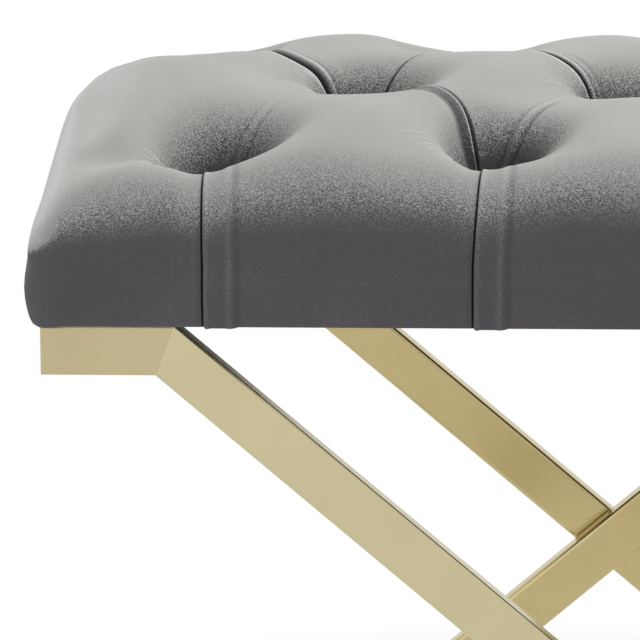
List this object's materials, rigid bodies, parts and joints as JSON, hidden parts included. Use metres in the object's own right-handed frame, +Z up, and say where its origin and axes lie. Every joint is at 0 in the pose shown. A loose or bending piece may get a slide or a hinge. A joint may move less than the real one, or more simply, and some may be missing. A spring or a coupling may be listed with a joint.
{
  "type": "upholstered bench",
  "caption": "Short bench with a deep diamond-tufted velvet seat on crossed-leg frames of flat brass-finished tube, with short level rails and feet.",
  "frame": {"origin": "on the floor, under the middle of the seat", "axes": "+X along the seat, -Y towards the front, +Z up"},
  "size_m": [0.562, 0.39, 0.4932],
  "materials": {
    "velvet": "short-pile grey velvet with a fine nap",
    "foam": "open-cell seat foam, hidden",
    "plywood": "raw birch plywood",
    "dust_cloth": "black non-woven cloth",
    "brass_finish": "pale satin brass finish on steel tube",
    "zinc_steel": "zinc-plated fasteners",
    "glide_plastic": "matt black moulded plastic"
  },
  "bodies": {
    "root": {"front_outer_top_rail": "brass_finish", "front_outer_leg": "brass_finish", "front_outer_foot": "brass_finish", "front_outer_rail_end": "brass_finish", "front_outer_foot_end": "brass_finish", "front_outer_bolt_1": "zinc_steel", "front_outer_insert_1": "zinc_steel", "front_outer_glide_1": "glide_plastic", "front_outer_bolt_2": "zinc_steel", "front_outer_insert_2": "zinc_steel", "front_outer_glide_2": "glide_plastic", "front_inner_top_rail": "brass_finish", "front_inner_leg": "brass_finish", "front_inner_foot": "brass_finish", "front_inner_rail_end": "brass_finish", "front_inner_foot_end": "brass_finish", "front_inner_bolt_1": "zinc_steel", "front_inner_insert_1": "zinc_steel", "front_inner_glide_1": "glide_plastic", "front_inner_bolt_2": "zinc_steel", "front_inner_insert_2": "zinc_steel", "front_inner_glide_2": "glide_plastic", "rear_outer_top_rail": "brass_finish", "rear_outer_leg": "brass_finish", "rear_outer_foot": "brass_finish", "rear_outer_rail_end": "brass_finish", "rear_outer_foot_end": "brass_finish", "rear_outer_bolt_1": "zinc_steel", "rear_outer_insert_1": "zinc_steel", "rear_outer_glide_1": "glide_plastic", "rear_outer_bolt_2": "zinc_steel", "rear_outer_insert_2": "zinc_steel", "rear_outer_glide_2": "glide_plastic", "rear_inner_top_rail": "brass_finish", "rear_inner_leg": "brass_finish", "rear_inner_foot": "brass_finish", "rear_inner_rail_end": "brass_finish", "rear_inner_foot_end": "brass_finish", "rear_inner_bolt_1": "zinc_steel", "rear_inner_insert_1": "zinc_steel", "rear_inner_glide_1": "glide_plastic", "rear_inner_bolt_2": "zinc_steel", "rear_inner_insert_2": "zinc_steel", "rear_inner_glide_2": "glide_plastic", "seat_board": "plywood", "dust_cover": "dust_cloth", "foam_core": "foam", "velvet_cover": "velvet", "tuft_button_01": "velvet", "tuft_button_02": "velvet", "tuft_button_03": "velvet", "tuft_button_04": "velvet", "tuft_button_05": "velvet", "tuft_button_06": "velvet", "tuft_button_07": "velvet", "tuft_button_08": "velvet", "tuft_button_09": "velvet", "tuft_button_10": "velvet", "tuft_button_11": "velvet"}
  },
  "joints": []
}
